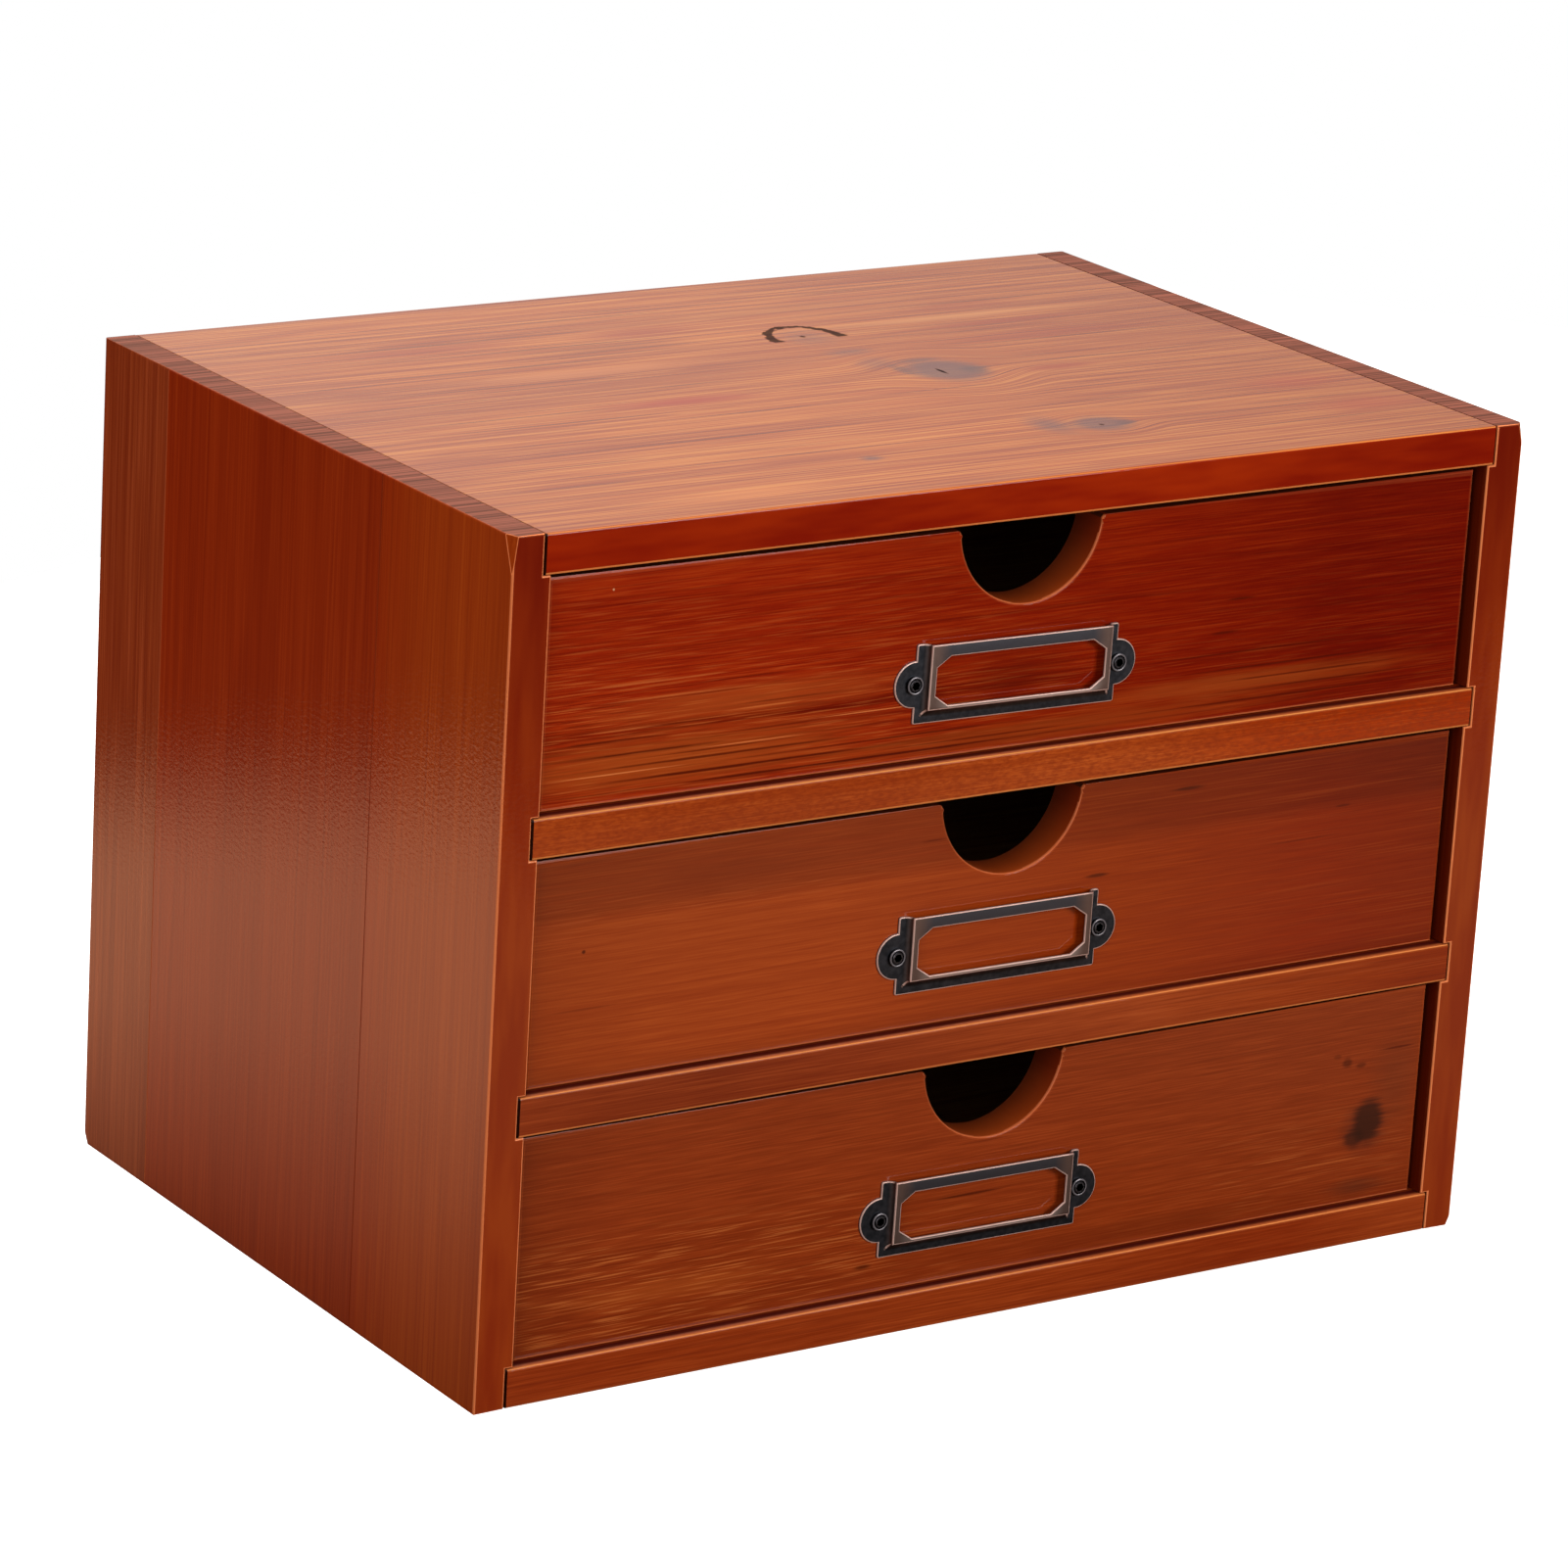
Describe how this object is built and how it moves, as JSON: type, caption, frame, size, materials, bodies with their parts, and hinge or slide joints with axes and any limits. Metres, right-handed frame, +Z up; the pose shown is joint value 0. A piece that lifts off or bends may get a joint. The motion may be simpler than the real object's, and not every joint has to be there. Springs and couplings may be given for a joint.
{
  "type": "desktop drawer chest",
  "caption": "Small wooden desktop chest of drawers with half-moon finger notches and stamped metal label holders on the drawer fronts.",
  "frame": {"origin": "middle of the underside, on the surface the chest stands on", "axes": "+X to the right seen from the front, +Y from the front to the back, +Z up; the drawers open towards -Y"},
  "size_m": [0.352, 0.239, 0.257],
  "materials": {
    "stained_fir": "red-brown stain under satin varnish",
    "stained_plywood": "thin plywood, lightly stained, satin",
    "bronzed_steel": "dark antique bronze plating, rubbed to copper on the edges",
    "blackened_steel": "blackened, slightly glossy",
    "brad_steel": "bright drawn wire"
  },
  "bodies": {
    "cabinet": {"side_left_stave_front": "stained_fir", "side_left_stave_middle": "stained_fir", "side_left_stave_rear": "stained_fir", "side_right_stave_front": "stained_fir", "side_right_stave_middle": "stained_fir", "side_right_stave_rear": "stained_fir", "top_board": "stained_fir", "shelf_upper": "stained_fir", "shelf_lower": "stained_fir", "bottom_board": "stained_fir", "back_panel": "stained_plywood", "back_panel_brads": "brad_steel"},
    "drawer_top": {"drawer_top_front": "stained_fir", "drawer_top_side_left": "stained_fir", "drawer_top_side_right": "stained_fir", "drawer_top_back": "stained_fir", "drawer_top_bottom": "stained_plywood", "drawer_top_label_holder": "bronzed_steel", "drawer_top_label_screws": "blackened_steel", "drawer_top_brads": "brad_steel"},
    "drawer_middle": {"drawer_middle_front": "stained_fir", "drawer_middle_side_left": "stained_fir", "drawer_middle_side_right": "stained_fir", "drawer_middle_back": "stained_fir", "drawer_middle_bottom": "stained_plywood", "drawer_middle_label_holder": "bronzed_steel", "drawer_middle_label_screws": "blackened_steel", "drawer_middle_brads": "brad_steel"},
    "drawer_bottom": {"drawer_bottom_front": "stained_fir", "drawer_bottom_side_left": "stained_fir", "drawer_bottom_side_right": "stained_fir", "drawer_bottom_back": "stained_fir", "drawer_bottom_bottom": "stained_plywood", "drawer_bottom_label_holder": "bronzed_steel", "drawer_bottom_label_screws": "blackened_steel", "drawer_bottom_brads": "brad_steel"}
  },
  "joints": [
    {"name": "drawer_top_slide", "type": "slide", "parent": "cabinet", "child": "drawer_top", "axis": [0, -1, 0], "range_m": [0, 0.19]},
    {"name": "drawer_middle_slide", "type": "slide", "parent": "cabinet", "child": "drawer_middle", "axis": [0, -1, 0], "range_m": [0, 0.19]},
    {"name": "drawer_bottom_slide", "type": "slide", "parent": "cabinet", "child": "drawer_bottom", "axis": [0, -1, 0], "range_m": [0, 0.19]}
  ]
}
